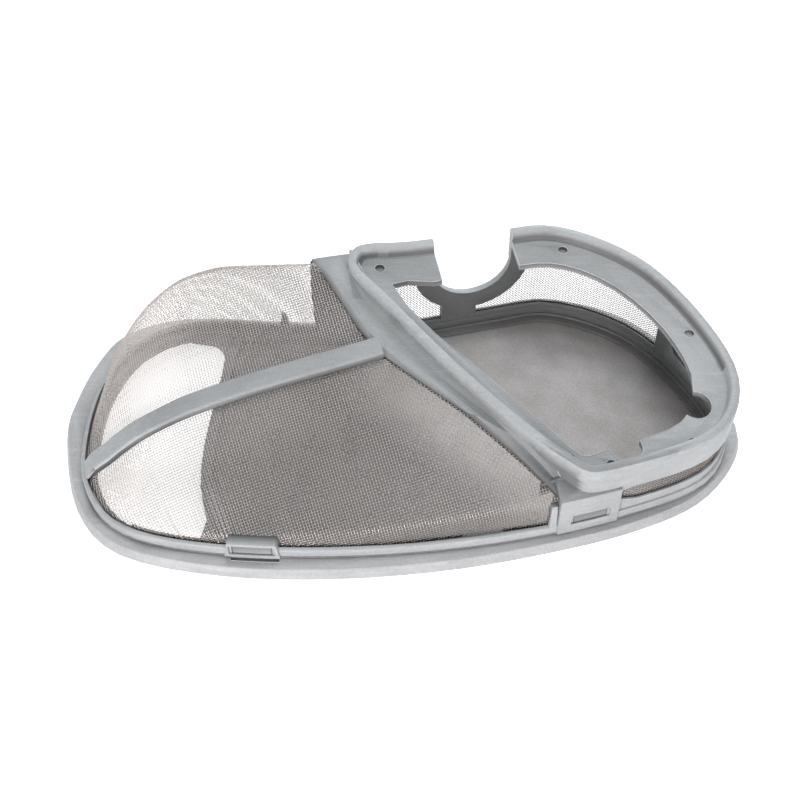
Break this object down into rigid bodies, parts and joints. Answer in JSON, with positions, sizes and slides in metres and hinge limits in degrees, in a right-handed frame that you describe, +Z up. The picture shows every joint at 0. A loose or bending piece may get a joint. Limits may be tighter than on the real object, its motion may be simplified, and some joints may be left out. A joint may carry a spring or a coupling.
{
  "type": "dishwasher sump filter",
  "caption": "Dishwasher sump filter with a ribbed dome of woven steel mesh, a fine mesh floor and a raised grey plastic box with a sloping rim, a round pipe saddle and mesh windows",
  "frame": {"origin": "Middle of the base flange's box, on the ground plane that the flange rests on", "axes": "+X along the length from the pointed dome end to the box end, +Y to the side with the pipe saddle, +Z up"},
  "size_m": [0.2596, 0.1382, 0.0531],
  "materials": {
    "upper_frame": "fine satin grey moulded plastic",
    "lower_frame": "fine satin grey moulded plastic",
    "dome_mesh": "plain woven steel wire cloth",
    "floor_mesh": "very fine woven steel wire cloth",
    "back_left_window_mesh": "plain woven steel wire cloth",
    "back_right_window_mesh": "plain woven steel wire cloth",
    "front_right_window_mesh": "plain woven steel wire cloth"
  },
  "bodies": {
    "root": {"upper_frame": "upper_frame", "lower_frame": "lower_frame", "dome_mesh": "dome_mesh", "floor_mesh": "floor_mesh", "back_left_window_mesh": "back_left_window_mesh", "back_right_window_mesh": "back_right_window_mesh", "front_right_window_mesh": "front_right_window_mesh"}
  },
  "joints": []
}
